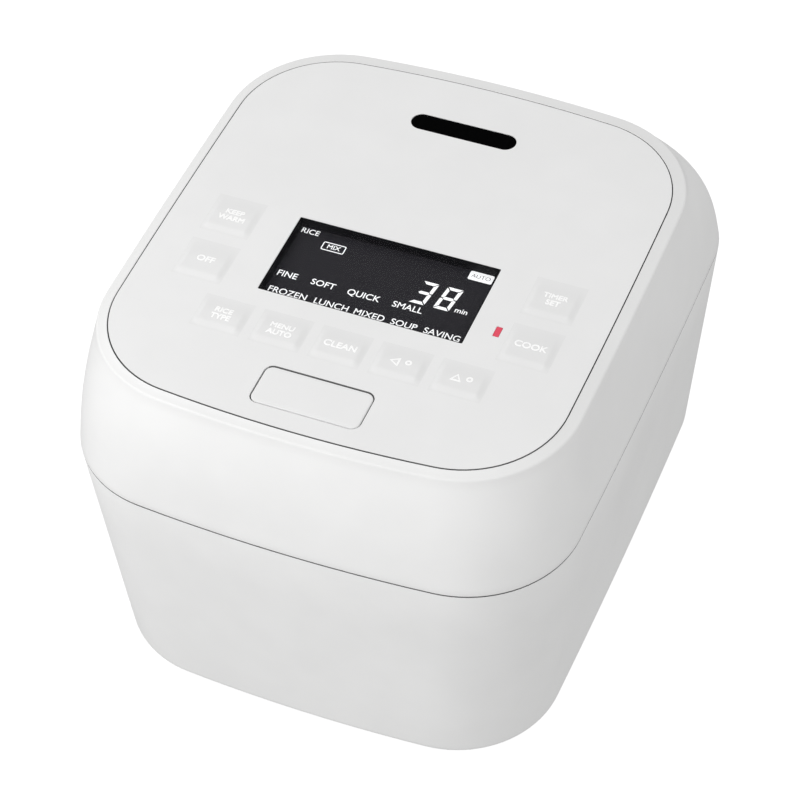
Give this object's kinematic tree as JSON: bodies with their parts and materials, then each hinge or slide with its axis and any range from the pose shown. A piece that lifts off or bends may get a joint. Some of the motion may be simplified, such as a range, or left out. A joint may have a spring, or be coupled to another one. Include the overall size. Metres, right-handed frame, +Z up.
{
  "type": "rice cooker",
  "caption": "Induction rice cooker: rounded tapered body, hinged lid with inset sloping key panel, dark display, steam slot, push-to-open button, lift-out pot inside.",
  "frame": {"origin": "on the floor, under the middle of the footprint", "axes": "+Z up, -Y towards the front (open button and display), +X to the right as seen from the front"},
  "size_m": [0.24, 0.302, 0.1986],
  "materials": {
    "white_shell": "satin moulded white",
    "white_panel": "satin white film",
    "white_key": "satin white, embossed",
    "grey_plastic": "matt moulded grey",
    "black_plastic": "matt black",
    "display_glass": "clear dark window, printed behind",
    "red_lens": "tinted lens",
    "rubber_foot": "matt",
    "silicone": "soft satin",
    "steel": "plated",
    "aluminium": "pressed, satin",
    "coated_pot": "dark non-stick coating",
    "copper": "varnished winding",
    "ferrite": "sintered, matt",
    "board_green": "solder mask"
  },
  "bodies": {
    "base": {"body_shell": "white_shell", "deck_ring": "grey_plastic", "base_plate": "grey_plastic", "foot_1": "rubber_foot", "foot_2": "rubber_foot", "foot_3": "rubber_foot", "foot_4": "rubber_foot", "base_screw_1": "steel", "base_screw_2": "steel", "base_screw_3": "steel", "base_screw_4": "steel", "pot_well": "grey_plastic", "inner_pot": "coated_pot", "induction_coil": "copper", "coil_seat": "black_plastic", "ferrite_1": "ferrite", "ferrite_2": "ferrite", "ferrite_3": "ferrite", "ferrite_4": "ferrite", "sensor_spring": "steel", "fan_frame": "black_plastic", "power_board": "board_green", "heatsink": "aluminium", "power_inlet": "black_plastic", "inlet_pin_left": "steel", "inlet_pin_right": "steel", "hinge_bracket": "grey_plastic", "hinge_cover": "white_shell", "hinge_pin": "steel", "hinge_spring": "steel", "latch_catch": "steel"},
    "lid": {"lid_shell": "white_shell", "lid_base": "grey_plastic", "inner_lid": "aluminium", "pot_gasket": "silicone", "lid_heater": "aluminium", "hinge_arm": "grey_plastic", "lid_screw_1": "steel", "lid_screw_2": "steel", "top_panel": "white_panel", "display_window": "display_glass", "display_module": "black_plastic", "control_board": "board_green", "cook_indicator": "red_lens", "steam_duct": "black_plastic", "button_spring": "steel", "latch_pin": "steel"},
    "button": {"open_button": "white_panel"},
    "latch": {"latch_hook": "steel"},
    "fan": {"fan_rotor": "black_plastic"},
    "sensor": {"pot_sensor": "aluminium"},
    "keep_warm": {"key_keep_warm": "white_key"},
    "off": {"key_off": "white_key"},
    "timer": {"key_timer": "white_key"},
    "cook": {"key_cook": "white_key"},
    "rice": {"key_rice": "white_key"},
    "menu": {"key_menu": "white_key"},
    "clean": {"key_clean": "white_key"},
    "hour": {"key_hour": "white_key"},
    "minute": {"key_minute": "white_key"}
  },
  "joints": [
    {"name": "lid_hinge", "type": "hinge", "parent": "base", "child": "lid", "pos_m": [0, 0.1435, 0.1385], "axis": [-1, 0, 0], "range_deg": [0, 85]},
    {"name": "open_button_press", "type": "slide", "parent": "lid", "child": "button", "axis": [0, -0.0363, 0.9993], "range_m": [-0.003, 0], "stiffness_N_per_m": 300, "springref_m": 0.003, "deforming": ["button_spring"]},
    {"name": "latch_release", "type": "hinge", "parent": "lid", "child": "latch", "pos_m": [0, -0.126, 0.165], "axis": [1, 0, 0], "range_deg": [-8, 0]},
    {"name": "keep_warm_press", "type": "slide", "parent": "lid", "child": "keep_warm", "axis": [0, -0.0363, 0.9993], "range_m": [-0.0005, 0], "stiffness_N_per_m": 1500, "springref_m": 0.0005},
    {"name": "off_press", "type": "slide", "parent": "lid", "child": "off", "axis": [0, -0.0363, 0.9993], "range_m": [-0.0005, 0], "stiffness_N_per_m": 1500, "springref_m": 0.0005},
    {"name": "timer_press", "type": "slide", "parent": "lid", "child": "timer", "axis": [0, -0.0363, 0.9993], "range_m": [-0.0005, 0], "stiffness_N_per_m": 1500, "springref_m": 0.0005},
    {"name": "cook_press", "type": "slide", "parent": "lid", "child": "cook", "axis": [0, -0.0363, 0.9993], "range_m": [-0.0005, 0], "stiffness_N_per_m": 1500, "springref_m": 0.0005},
    {"name": "rice_press", "type": "slide", "parent": "lid", "child": "rice", "axis": [0, -0.0363, 0.9993], "range_m": [-0.0005, 0], "stiffness_N_per_m": 1500, "springref_m": 0.0005},
    {"name": "menu_press", "type": "slide", "parent": "lid", "child": "menu", "axis": [0, -0.0363, 0.9993], "range_m": [-0.0005, 0], "stiffness_N_per_m": 1500, "springref_m": 0.0005},
    {"name": "clean_press", "type": "slide", "parent": "lid", "child": "clean", "axis": [0, -0.0363, 0.9993], "range_m": [-0.0005, 0], "stiffness_N_per_m": 1500, "springref_m": 0.0005},
    {"name": "hour_press", "type": "slide", "parent": "lid", "child": "hour", "axis": [0, -0.0363, 0.9993], "range_m": [-0.0005, 0], "stiffness_N_per_m": 1500, "springref_m": 0.0005},
    {"name": "minute_press", "type": "slide", "parent": "lid", "child": "minute", "axis": [0, -0.0363, 0.9993], "range_m": [-0.0005, 0], "stiffness_N_per_m": 1500, "springref_m": 0.0005},
    {"name": "fan_spin", "type": "hinge", "parent": "base", "child": "fan", "pos_m": [-0.046, 0.107, 0.015], "axis": [0, 0, 1], "continuous": true},
    {"name": "pot_sensor_press", "type": "slide", "parent": "base", "child": "sensor", "axis": [0, 0, 1], "range_m": [-0.002, 0], "stiffness_N_per_m": 400, "springref_m": 0.001, "deforming": ["sensor_spring"]}
  ],
  "couplings": [
    {"joint": "latch_release", "follows": "open_button_press", "rad_per_m": 45.455}
  ]
}
